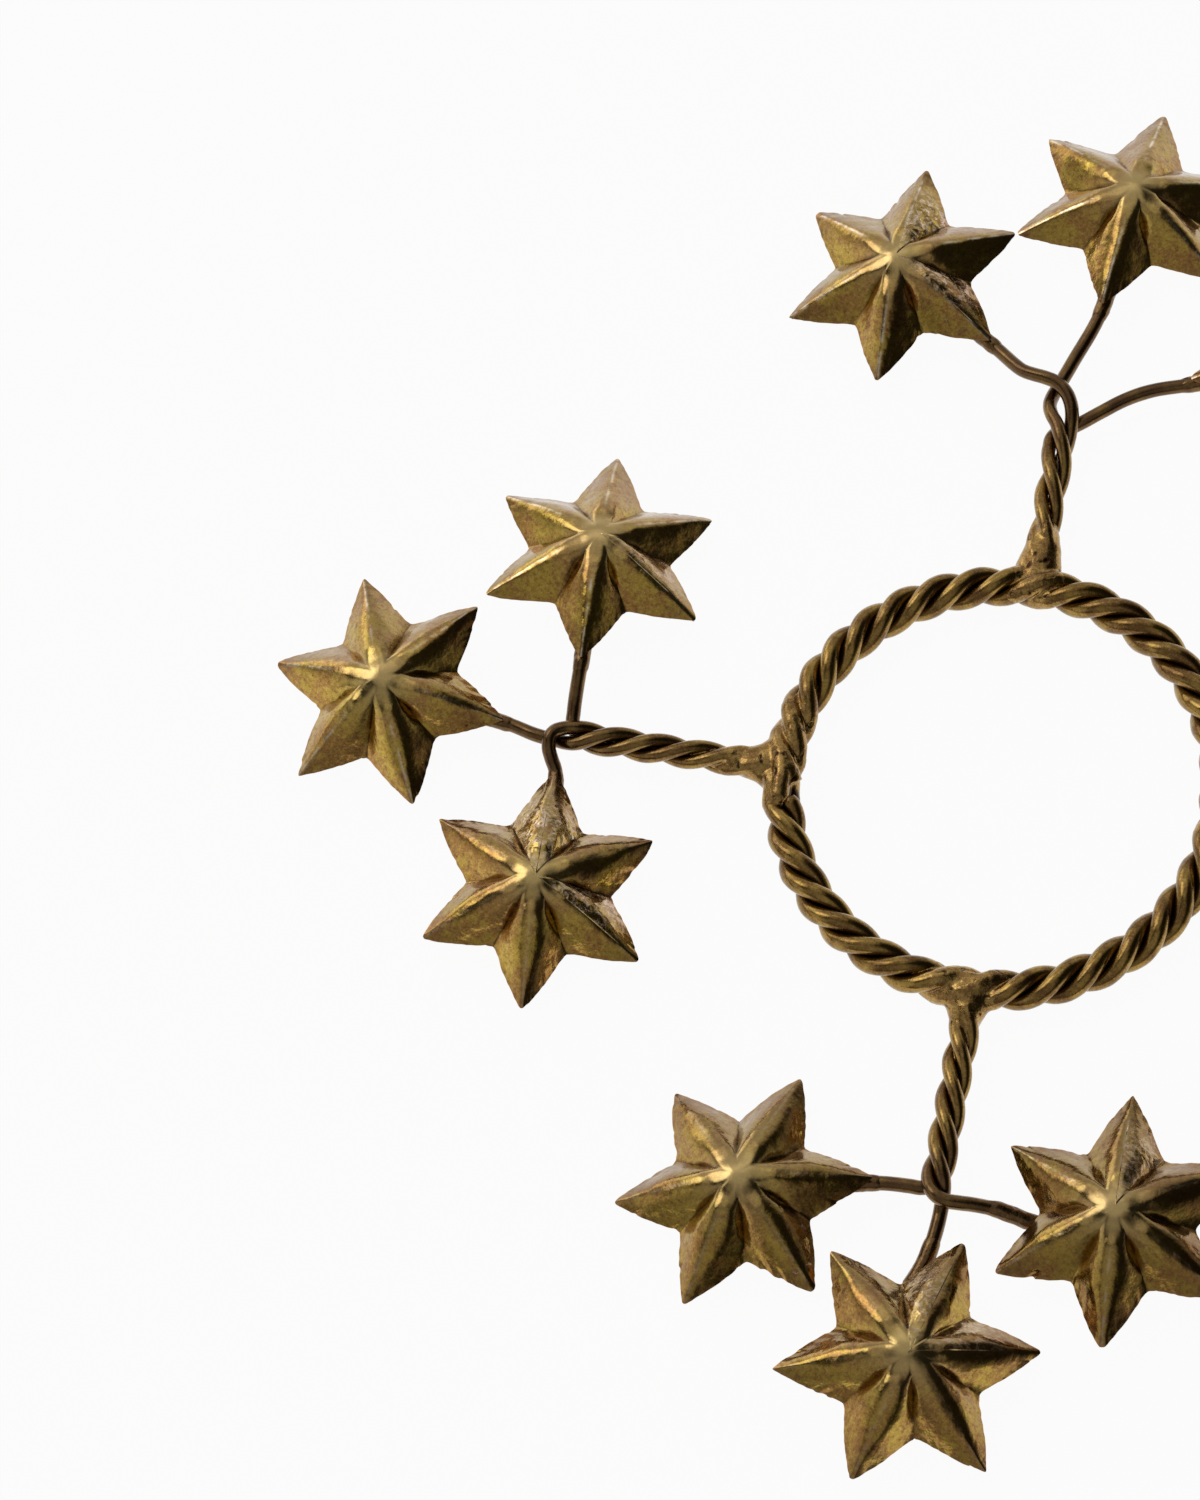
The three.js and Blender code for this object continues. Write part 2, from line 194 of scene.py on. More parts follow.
def strike(points, number, worn):
    """The shape that the die gives the points of the blank, and where its crests and creases lie.

    Every star comes out a little different: its edge is ragged, its tips are more or less blunt, and the
    slopes are slightly dented. A worn die, worn between 0 and 1, gives rounder ridges.
    """
    x, y = points[:, 0], points[:, 1]
    angle = np.arctan2(y, x)
    nearest = np.round(angle / POINT_TURN)
    point_number = nearest.astype(int) % 6
    local = angle - nearest * POINT_TURN
    reach = np.hypot(x, y)
    tip = np.array([STAR_RADIUS, 0])
    notch = NOTCH_RADIUS * np.array([math.cos(HALF_POINT), math.sin(HALF_POINT)])
    edge = notch - tip
    out = np.array([-edge[1], edge[0]]) / np.hypot(*edge)
    if out @ tip < 0:
        out = -out
    offset = out @ tip
    straight = offset / (out[0] * np.cos(local) + out[1] * np.abs(np.sin(local)))
    share_out = np.clip(reach / straight, 0, 1)

    # Outline: bulging sides, blunt tips, rounded notches and a ragged edge
    rng = np.random.default_rng(40 + number)
    blunt = rng.uniform(SHARPEST_TIP, BLUNTEST_TIP, 6) * MM
    along_edge = np.clip((straight * np.cos(local) - notch[0]) / (tip[0] - notch[0]), 0, 1)
    bulged = straight + SIDE_BULGE * 4 * along_edge * (1 - along_edge)
    limit = STAR_RADIUS - blunt[point_number]
    outline = -TIP_SOFTNESS * np.log(np.exp(-bulged / TIP_SOFTNESS) + np.exp(-limit / TIP_SOFTNESS))
    notch_limit = NOTCH_RADIUS + NOTCH_FILL
    filled = np.exp(outline / NOTCH_SOFTNESS) + np.exp(notch_limit / NOTCH_SOFTNESS)
    outline = NOTCH_SOFTNESS * np.log(filled)
    rim = np.column_stack([outline * np.cos(angle), outline * np.sin(angle), 0 * outline])
    waves = unevenness(rim, 1.3 * MM, number) * 0.04
    teeth = unevenness(rim, 0.4 * MM, number + 20) * 0.03
    nicks = np.clip(unevenness(rim, 0.6 * MM, number + 30) - 0.6, 0, 1) * 0.2
    outline = outline + (waves + teeth - nicks - 0.03) * MM * ease(0.86, 1, share_out)
    reach = share_out * outline

    # Slopes: a dome in the middle, round ribs round it, and creased points further out
    beside = reach * np.abs(np.sin(local))
    to_crease = np.abs(np.sin(local)) / math.sin(HALF_POINT)
    round_size = (RIDGE_ROUND + RIDGE_WEAR * worn + RIDGE_AT_CROWN * np.exp(-(reach / CROWN_REACH)**2)) * MM
    crest_width = round_size / (np.maximum(reach, 0.3 * MM) * math.sin(HALF_POINT))
    fold = rounded(to_crease, crest_width) / rounded(1, crest_width)
    creased = ease(1.4 * MM, 3.8 * MM, reach)
    fold = to_crease**2.2 * (1 - creased) + fold**1.35 * creased
    plane = out[0] * np.cos(local) + out[1] * math.sin(HALF_POINT) * fold
    folded = ease(1.0 * MM, 2.3 * MM, reach)
    plane = 0.66 * (1 - folded) + plane * folded
    level = np.clip(reach * plane / offset, 0, 1)
    at_rim = ease(0.65, 1, share_out)
    level = level * (1 - at_rim) + share_out * at_rim
    height = STAR_HEIGHT * (1 - (rounded(level, CROWN_ROUND) / rounded(1, CROWN_ROUND))**FLANK_BELLY)
    height = height - DIP_DEPTH * np.exp(-((reach - DIP_PLACE) / DIP_WIDTH)**2) * to_crease**6
    rng = np.random.default_rng(90 + number)
    bend = rng.uniform(-0.12, 0.16, 6)[point_number] * MM
    height = height + bend * ease(0.45, 1, reach / STAR_RADIUS)

    struck = np.column_stack([reach * np.cos(angle), reach * np.sin(angle), height])
    broad_dents = unevenness(struck, 2.1 * MM, number + 40) * 0.045
    small_dents = unevenness(struck, 0.8 * MM, number + 60) * 0.012
    struck[:, 2] += (broad_dents + small_dents) * MM * ease(0, 0.25, share_out)

    # Traces for the finish: rubbed crests that also carry a painted highlight, dark patina with painted shade
    # in the creases, the rim and the browned tips
    # The crest line: rubbed brass and a painted highlight along each ridge
    crest = np.exp(-(beside / CREST_LINE)**2) * ease(2.0 * MM, 3.6 * MM, reach) * (1 - 0.85 * worn)
    from_crease = reach * np.sin(HALF_POINT - np.abs(local))
    rng = np.random.default_rng(150 + number)
    # Each crease gets its own strength of dark patina and painted shade
    patina_and_shade_strength = rng.uniform(0.15, 1.0, 6)[np.floor(np.degrees(angle) / 60).astype(int) % 6]
    crease_width = (0.05 + 0.1 * np.exp(-((reach - 1.8 * MM) / (0.9 * MM))**2)) * MM
    crease = np.exp(-(from_crease / crease_width)**2) * ease(0.9 * MM, 1.3 * MM, reach) * patina_and_shade_strength
    edge_line = ease(0.965, 1.0, share_out)
    rubbed_crown = np.exp(-(reach / RUBBED_CROWN)**2) * (1 - 0.75 * to_crease**2 * folded)
    rubbed_ridge = 0.6 * np.exp(-(beside / RUBBED_RIDGE)**2 - (reach / RUBBED_RIDGE_REACH)**2)
    traces = {
        "crest": crest,
        "crease": np.clip(crease, 0, 1),
        "edge_line": edge_line,
        "rubbed": np.maximum(rubbed_crown, rubbed_ridge),
        "browned": ease(4.4 * MM, 7.6 * MM, reach),
    }
    flank = np.floor(np.degrees(angle) / 30).astype(int) % 12
    return struck, traces, flank


def star_place(node):
    """The place of a star, from its solid: the middle of its upper rim, with its first point along X."""
    points = read_points(node.data)
    middle = (points.min(axis=0) + points.max(axis=0)) / 2
    points = np.unique(points.round(7), axis=0)
    for _ in range(3):
        far = np.linalg.norm(points - middle, axis=1)
        tips = points[np.argsort(far)[-12:]]
        middle = tips.mean(axis=0)
    _, _, axes = np.linalg.svd(tips - middle)
    up = axes[2] if axes[2][2] > 0 else -axes[2]
    first = tips[np.argmax(tips @ np.array([1.0, 0.3, 0]))] - middle
    first = first - up * (first @ up)
    first = first / np.linalg.norm(first)
    side = np.cross(up, first)
    centre = middle + up * HALF_RIM
    place = Matrix.Identity(4)
    for row in range(3):
        place[row][0], place[row][1], place[row][2] = first[row], side[row], up[row]
        place[row][3] = centre[row]
    return place


# Flanks whose film has flaked and left pale, crumpled metal, counted anticlockwise from the point nearest X
FLAKED_FLANKS = {
    "north_star_left": {1: 1.0, 10: 0.8},
    "west_star_left": {1: 0.7, 2: 1.0, 10: 1.0},
    "west_star_right": {10: 0.45},
    "south_star_middle": {0: 0.4, 2: 0.5},
    "south_star_left": {1: 0.5},
    "east_star_right": {2: 0.8},
}

# Stars whose ridges came out round
WORN_RIDGES = {
    "west_star_left": 0.9, "west_star_middle": 0.45, "west_star_right": 0.15,
    "south_star_left": 0.8, "south_star_middle": 1.0, "south_star_right": 0.9,
    "east_star_middle": 0.6,
}

# How far each star has tarnished, where it isn't as clean as the west arm's
TARNISHED = {
    "north_star_left": 0.12, "north_star_middle": 0.12, "north_star_right": 0.15,
    "south_star_left": 0.45, "south_star_middle": 0.22, "south_star_right": 0.28,
    "east_star_left": 0.2, "east_star_middle": 0.1, "east_star_right": 0.25,
}


def make_star(name, node_name, number, blank):
    """Strikes a copy of the blank, gives it its thickness and puts it in the place of its solid."""
    star = blank.copy()
    star.data = blank.data.copy()
    star.name = name
    star.data.name = name
    bpy.context.collection.objects.link(star)
    struck, traces, flank = strike(read_points(blank.data), number, WORN_RIDGES.get(node_name, 0.0))
    write_points(star.data, struck)
    for trace, values in traces.items():
        store(star.data, trace, values)
    flaked = FLAKED_FLANKS.get(node_name, {})
    inwards = 1 - ease(3.8 * MM, 6.6 * MM, np.hypot(struck[:, 0], struck[:, 1]))
    store(star.data, "flaked", np.array([flaked.get(k, 0.0) for k in flank]) * inwards)
    store(star.data, "tarnished", np.full(len(struck), TARNISHED.get(node_name, 0.0)))
    outer_count = len(star.data.vertices)
    apply_modifier(star, "SOLIDIFY", thickness=SHEET_THICKNESS, offset=-1, use_rim=True)
    store(star.data, "back", np.arange(len(star.data.vertices)) >= outer_count)
    bpy.ops.object.shade_smooth_by_angle(angle=SHEET_CORNER)
    star.data.transform(star_place(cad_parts[node_name]))
    # Painted reflection: flanks facing +Y are greyed by the way they face the light
    store(star.data, "facing_y_grey_sheen", ease(0.12, 0.5, read_normals(star.data)[:, 1]))
    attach(star, "root")
    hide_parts(node_name)
    return star


def centre_line(node):
    """The points along the middle of a wire, section by section, from its solid.

    Each section is summed in the order of its corners' numbers, so that every run gives the same line.
    """
    shape = bmesh.new()
    shape.from_mesh(node.data)
    bmesh.ops.remove_doubles(shape, verts=shape.verts, dist=WELD)
    shape.verts.index_update()
    end_edges = {e for e in shape.edges if len(e.link_faces) == 2 and e.calc_face_angle(0) > END_CORNER}
    end_corners = (v for e in end_edges for v in e.verts)
    start = min(end_corners, key=lambda v: (round(v.co.length, 7), v.co.x, v.index))
    section = {start}
    grow = [start]
    while grow:
        corner = grow.pop()
        for edge in corner.link_edges:
            other = edge.other_vert(corner)
            if edge in end_edges and other not in section:
                section.add(other)
                grow.append(other)
    seen = set(section)
    line = []
    while section:
        corners = sorted(section, key=lambda v: v.index)
        line.append(sum((v.co for v in corners), Vector()) / len(corners))
        section = {e.other_vert(v) for v in section for e in v.link_edges} - seen
        seen |= section
    shape.free()
    return line


def draw_wire(name, line, radius, thickness=None, sides=5, steps=4):
    """A round wire along a line, as a mesh. Thickness is a share of the radius at each point of the line."""
    curve = bpy.data.curves.new(name, "CURVE")
    curve.dimensions = "3D"
    curve.resolution_u = steps
    curve.bevel_depth = radius
    curve.bevel_resolution = sides
    curve.use_fill_caps = True
    curve.twist_mode = "MINIMUM"
    path = curve.splines.new("BEZIER")
    path.bezier_points.add(len(line) - 1)
    for i, (knot, place) in enumerate(zip(path.bezier_points, line)):
        knot.co = place
        knot.handle_left_type = "AUTO"
        knot.handle_right_type = "AUTO"
        knot.radius = 1 if thickness is None else thickness[i]
    wire = bpy.data.objects.new(name, curve)
    bpy.context.collection.objects.link(wire)
    pick_up(wire)
    bpy.ops.object.convert(target="MESH")
    wire = bpy.context.object
    bpy.ops.object.mode_set(mode="EDIT")
    bpy.ops.mesh.select_all(action="SELECT")
    bpy.ops.mesh.remove_doubles(threshold=1e-7)
    bpy.ops.mesh.normals_make_consistent(inside=False)
    bpy.ops.object.mode_set(mode="OBJECT")
    bpy.ops.object.shade_smooth_by_angle(angle=WIRE_CORNER)
    return wire


def wear_wire(wire, neighbours, radius, number):
    """Slight unevenness of a hand-drawn wire, and how deep each point lies between its neighbours.

    The neighbours are the lines of the wires that it is twisted with.
    """
    points = read_points(wire.data)
    normals = read_normals(wire.data)
    points = points + normals * (unevenness(points, 1.6 * MM, number) * 0.008 * MM)[:, None]
    write_points(wire.data, points)
    others = [place for line in neighbours for place in line]
    tree = kdtree.KDTree(len(others))
    for i, place in enumerate(others):
        tree.insert(place, i)
    tree.balance()
    groove = []
    for place in points:
        gap = tree.find(Vector(place))[2] - radius
        groove.append(1 - min(max(gap / (0.62 * radius), 0), 1))
    # The groove share darkens the wire: dark patina and painted shade between strands, and painted shade in
    # the seam's hole
    store(wire.data, "groove", np.maximum(groove, seam_hole_shade(points)))
    store(wire.data, "browned", ease(20 * MM, 28 * MM, np.hypot(points[:, 0], points[:, 1])))


def spaced(line, spacing):
    """Points at an even spacing on a line."""
    points = np.array([tuple(p) for p in line])
    steps = np.r_[0, np.cumsum(np.linalg.norm(np.diff(points, axis=0), axis=1))]
    at = np.arange(0, steps[-1], spacing)
    return [Vector((np.interp(t, steps, points[:, 0]), np.interp(t, steps, points[:, 1]),
                    np.interp(t, steps, points[:, 2]))) for t in at]


def melt_together(name, parts, grain, smoothing, lumps, number):
    """Joins closed shapes into one body of solder whose hollows have filled by flow."""
    drop_selection()
    for part in parts:
        part.select_set(True)
    bpy.context.view_layer.objects.active = parts[0]
    bpy.ops.object.join()
    body = bpy.context.object
    body.name = name
    body.data.name = name
    apply_modifier(body, "REMESH", mode="VOXEL", voxel_size=grain, use_smooth_shade=True)
    apply_modifier(body, "SMOOTH", factor=0.5, iterations=smoothing)
    points = read_points(body.data)
    normals = read_normals(body.data)
    rough = unevenness(points, 0.75 * MM, number) * 0.7 + unevenness(points, 0.3 * MM, number + 7) * 0.3
    pits = np.clip(unevenness(points, 0.42 * MM, number + 13) - 0.72, 0, 1)
    points = points + normals * (rough * lumps - pits * PIT_DEPTH)[:, None]
    points[:, 2] = np.maximum(points[:, 2], LOWEST_SOLDER)
    write_points(body.data, points)
    store(body.data, "pit", np.clip(pits * 4, 0, 1))
    store(body.data, "browned", ease(20 * MM, 26 * MM, np.hypot(points[:, 0], points[:, 1])))
    return body


# The foot of solder at each arm's root, seen from above in the arm's own frame: how far out from the
# ring's axis, then how far it reaches to the left and to the right there, and half its height, in mm
ROOT_FEET = {
    "north": ((13.0, 1.7, -1.7, 1.05), (14.5, 1.5, -1.45, 1.05), (16.0, 1.1, -1.2, 0.95),
              (17.2, 0.65, -0.85, 0.8), (17.9, 0.35, -0.5, 0.45), (18.6, 0.05, -0.25, 0.15)),
    "west": ((13.3, 3.1, -2.0, 0.95), (14.1, 2.45, -1.25, 1.0), (14.8, 1.95, -0.5, 0.98),
             (15.8, 1.7, -0.05, 0.92), (16.8, 1.45, 0.15, 0.8), (17.6, 1.15, 0.35, 0.5),
             (18.4, 0.9, 0.65, 0.15)),
    "south": ((12.5, 2.9, -2.4, 1.12), (13.2, 2.5, -2.3, 1.15), (14.0, 1.85, -1.3, 1.1),
              (14.9, 1.45, -0.7, 1.0), (15.7, 1.2, -0.4, 0.8), (16.4, 0.9, 0.0, 0.45),
              (17.1, 0.6, 0.3, 0.15)),
    "east": ((13.2, 2.0, -2.5, 1.0), (14.2, 1.4, -1.8, 1.0), (15.1, 0.95, -1.35, 0.95),
             (16.2, 0.7, -1.1, 0.85), (17.2, 0.3, -0.7, 0.45), (17.9, 0.0, -0.35, 0.15)),
}

# The ring's seam, at the west root: the first strand is cut back by this share of its first step, which
# leaves a hole. The hole's middle lies at this heading, distance from the ring's axis and height.
CUT_BACK = 0.6
SEAM_HOLE = (192.6, 12.95 * MM, 1.2 * MM)

# How far round the ring the solder has run from each root, in degrees, and its radius there as a share of
# the wire's
ROOT_SPREAD = {"north": 9, "west": 23, "south": 15, "east": 11}
ROOT_FILM = {"north": 1.16, "west": 1.12, "south": 1.16, "east": 1.16}

# The middle height of the solder's feet, in mm, how low solder may hang and how deep its pits are
FOOT_HEIGHT = 1.2
LOWEST_SOLDER = 0.01 * MM
PIT_DEPTH = 0.1 * MM

# Spacings of the points that the solder's runs are drawn through
FILM_STEP = 0.3 * MM
TAIL_STEP = 0.25 * MM
TAIL_LENGTH = 6.4 * MM

# Edge of the small cubes that melted solder is built from, and how far its lumps stand out
ROOT_GRAIN = 0.085 * MM
ROOT_LUMPS = 0.022 * MM
BEAD_GRAIN = 0.1 * MM
BEAD_LUMPS = 0.03 * MM


def root_foot(arm):
    """The foot of solder between an arm and the ring, lofted through its stations."""
    stations = np.array(ROOT_FEET[arm])
    bpy.ops.mesh.primitive_cylinder_add(vertices=28, radius=1, depth=1, end_fill_type="TRIFAN")
    foot = bpy.context.object
    bpy.ops.object.mode_set(mode="EDIT")
    bpy.ops.mesh.select_all(action="SELECT")
    bpy.ops.mesh.subdivide(number_cuts=9)
    bpy.ops.object.mode_set(mode="OBJECT")
    points = read_points(foot.data)
    out = stations[0, 0] + (points[:, 2] + 0.5) * (stations[-1, 0] - stations[0, 0])
    left = np.interp(out, stations[:, 0], stations[:, 1])
    right = np.interp(out, stations[:, 0], stations[:, 2])
    tall = np.interp(out, stations[:, 0], stations[:, 3])
    across = (left + right) / 2 + points[:, 0] * (left - right) / 2
    placed = np.column_stack([out, across, points[:, 1] * tall + FOOT_HEIGHT])
    write_points(foot.data, placed * MM)
    foot.data.transform(Matrix.Rotation(math.radians(HEADINGS[arm]), 4, "Z"))
    return foot


def on_ring(turn, reach, height):
    """A place by its heading in degrees, distance from the ring's axis and height."""
    heading = math.radians(turn)
    return Vector((reach * math.cos(heading), reach * math.sin(heading), height))


def seam_hole_shade(points):
    """How much painted shade each point gets that lies in the hole at the ring's seam."""
    near = np.linalg.norm(points - np.array(on_ring(*SEAM_HOLE)), axis=1)
    return ease(0.95 * MM, 0.7 * MM, near) * ease(2.1 * MM, 1.8 * MM, points[:, 2])


def seam_fill(ring_lines):
    """The solder across the ring's seam.

    A low plug lies under the strands, and a thick run carries the second strand's end on into the third
    one's start.
    """
    low = [on_ring(turn, 12.95 * MM, 0.98 * MM) for turn in (184, 187, 190, 193, 196)]
    plug = draw_wire("seam_plug", low, 0.78 * MM, [0.6, 1, 1, 1, 0.6], sides=5, steps=3)
    run = [*ring_lines[1][-4:], on_ring(190.4, 13.72 * MM, 1.62 * MM), on_ring(192.6, 13.76 * MM, 1.5 * MM),
           on_ring(194.9, 13.84 * MM, 1.5 * MM), *ring_lines[2][2:5]]
    thickness = [0.9, 1.02, 1.08, 1.12, 1.25, 1.3, 1.16, 1.08, 1.02, 0.9]
    return [plug, draw_wire("seam_run", run, RING_WIRE_RADIUS, thickness, sides=5, steps=3)]


def make_root(arm, ring_lines, arm_lines, number):
    """The solder at an arm's root: its foot, and what has run along the arm's wires and round the ring."""
    heading = math.radians(HEADINGS[arm])
    out = Vector((math.cos(heading), math.sin(heading), 0))
    spread = ROOT_SPREAD[arm]
    thick = ROOT_FILM[arm]
    foot_end = ROOT_FEET[arm][-1][0] * MM
    parts = [root_foot(arm)]
    if arm == "west":
        parts.extend(seam_fill(ring_lines))
    for i, line in enumerate(arm_lines):
        near = [p for p in spaced(line, FILM_STEP) if p.dot(out) < foot_end + 1.0 * MM]
        film = [1.2 - 0.34 * ease(-3.0, 0.8, (p.dot(out) - foot_end) / MM) for p in near]
        parts.append(draw_wire(f"film_{i}", near, ARM_WIRE_RADIUS, film, sides=3, steps=2))
    for i, line in enumerate(ring_lines):
        if arm == "west" and i == 0:
            # The first strand starts beyond the seam's hole
            line = line[2:]
        turns = []
        for place in spaced(line, FILM_STEP):
            turns.append((place, math.degrees(abs(out.angle(Vector((place.x, place.y, 0)))))))
        run = []
        # The empty place at the end closes the last run
        for place, turn in turns + [(None, None)]:
            if place is not None and turn < spread:
                run.append((place, turn))
            elif run:
                if len(run) > 3:
                    film = [thick - (thick - 0.87) * ease(0.45, 1, t / spread) for _, t in run]
                    places = [p for p, _ in run]
                    parts.append(draw_wire(f"film_ring_{i}", places, RING_WIRE_RADIUS, film, sides=3, steps=2))
                run = []
    body = melt_together(f"{arm}_root_joint", parts, ROOT_GRAIN, 12, ROOT_LUMPS, number)
    # The seam's hole is painted dark through the pit share: painted shade
    if arm == "west":
        pits = np.empty(len(body.data.vertices), dtype=np.float32)
        body.data.attributes["pit"].data.foreach_get("value", pits)
        store(body.data, "pit", np.maximum(pits, seam_hole_shade(read_points(body.data))))
    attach(body, "root")
    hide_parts(f"{arm}_root_solder")
    return body


def make_bead(node_name, line, number):
    """The solder behind a star: a bead in the hollow, drawn out along the wire to the star's edge."""
    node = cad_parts[node_name]
    bead = node.copy()
    bead.data = node.data.copy()
    bead.name = "bead_core"
    bpy.context.collection.objects.link(bead)
    pick_up(bead)
    bpy.ops.object.mode_set(mode="EDIT")
    bpy.ops.mesh.select_all(action="SELECT")
    bpy.ops.mesh.remove_doubles(threshold=WELD)
    bpy.ops.object.mode_set(mode="OBJECT")
    along = spaced(reversed(line), TAIL_STEP)
    stretch = along[:int(TAIL_LENGTH / TAIL_STEP)]
    film = [1.22 - 0.42 * ease(5.0, 6.1, i * TAIL_STEP / MM) for i in range(len(stretch))]
    tail = draw_wire("bead_tail", stretch, ARM_WIRE_RADIUS, film, sides=3, steps=2)
    name = node_name.replace("_solder", "_bead")
    body = melt_together(name, [bead, tail], BEAD_GRAIN, 4, BEAD_LUMPS, number)
    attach(body, "root")
    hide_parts(node_name)
    return body


class Recipe:
    """Shorthand for wiring a material's nodes."""

    def __init__(self, name):
        self.material = bpy.data.materials.new(name)
        self.material.use_nodes = True
        self.tree = self.material.node_tree
        self.shader = self.tree.nodes["Principled BSDF"]
        self.coords = self.tree.nodes.new("ShaderNodeTexCoord").outputs["Object"]

    def feed(self, socket, value):
        if isinstance(value, bpy.types.NodeSocket):
            self.tree.links.new(value, socket)
        else:
            socket.default_value = value

    def noise(self, size, detail=3.0, roughness=0.5, vector=None, distortion=0.0):
        node = self.tree.nodes.new("ShaderNodeTexNoise")
        self.feed(node.inputs["Vector"], vector or self.coords)
        node.inputs["Scale"].default_value = 1 / size
        node.inputs["Detail"].default_value = detail
        node.inputs["Roughness"].default_value = roughness
        node.inputs["Distortion"].default_value = distortion
        return node.outputs["Fac"]

    def span(self, value, low, high, to_low=0.0, to_high=1.0):
        node = self.tree.nodes.new("ShaderNodeMapRange")
        node.interpolation_type = "SMOOTHSTEP"
        self.feed(node.inputs["Value"], value)
        ends = {"From Min": low, "From Max": high, "To Min": to_low, "To Max": to_high}
        for socket, number in ends.items():
            node.inputs[socket].default_value = number
        return node.outputs["Result"]

    def math(self, operation, first, second=0.0):
        node = self.tree.nodes.new("ShaderNodeMath")
        node.operation = operation
        self.feed(node.inputs[0], first)
        self.feed(node.inputs[1], second)
        return node.outputs[0]

    def mix(self, share, first, second, blend="MIX"):
        node = self.tree.nodes.new("ShaderNodeMix")
        node.data_type = "RGBA"
        node.blend_type = blend
        self.feed(node.inputs["Factor"], share)
        self.feed(node.inputs["A"], first)
        self.feed(node.inputs["B"], second)
        return next(s for s in node.outputs if s.enabled)

    def attribute(self, name):
        node = self.tree.nodes.new("ShaderNodeAttribute")
        node.attribute_name = name
        return node.outputs["Fac"]

    def bump(self, height, distance, strength=1.0, below=None):
        node = self.tree.nodes.new("ShaderNodeBump")
        node.inputs["Distance"].default_value = distance
        node.inputs["Strength"].default_value = strength
        self.feed(node.inputs["Height"], height)
        if below is not None:
            self.tree.links.new(below, node.inputs["Normal"])
        return node.outputs["Normal"]


def rgb(r, g, b):
    return (r, g, b, 1.0)


# Dark patina; in the creases, the wires' grooves and the seam's hole it is also painted shade
DARK_PATINA_AND_SHADE = rgb(0.045, 0.02, 0.006)
OLIVE_FILM = rgb(0.48, 0.312, 0.046)
BROWN_FILM = rgb(0.41, 0.203, 0.048)
LEMON_FILM = rgb(0.62, 0.46, 0.09)
TARNISH = rgb(0.135, 0.063, 0.014)
TIP_BROWN = rgb(0.19, 0.098, 0.04)
# Painted reflection: the grey given to flanks that face +Y
PAINTED_GREY_SHEEN = rgb(0.3, 0.21, 0.16)
CLEAN_BRASS = rgb(0.66, 0.5, 0.22)
GREY_GOLD = rgb(0.58, 0.425, 0.18)
PALE_CRUST = rgb(0.8, 0.63, 0.5)
LEAF_GOLD = rgb(0.95, 0.74, 0.58)
# Pale rubbed brass, which on the crests is also a painted highlight
RUBBED_BRASS_AND_HIGHLIGHT = rgb(0.93, 0.8, 0.62)
COPPER_RIM = rgb(0.5, 0.24, 0.09)
HEAT_BROWN = rgb(0.1, 0.052, 0.024)
RING_FILM = rgb(0.35, 0.215, 0.047)
RING_FILM_DARK = rgb(0.17, 0.085, 0.02)
RING_CLEAN = rgb(0.52, 0.36, 0.18)
ARM_FILM = rgb(0.35, 0.215, 0.052)
ARM_FILM_DARK = rgb(0.18, 0.093, 0.025)
ARM_CLEAN = rgb(0.5, 0.34, 0.16)
SOLDER_DARK = rgb(0.24, 0.13, 0.038)
SOLDER_LIGHT = rgb(0.44, 0.27, 0.08)


def lacquer(r, weight):
    """The thin old lacquer and tarnish over the metal, which whitens its brightest reflections."""
    r.shader.inputs["Coat Weight"].default_value = weight
    r.shader.inputs["Coat Roughness"].default_value = 0.12
    r.shader.inputs["Coat IOR"].default_value = 1.6


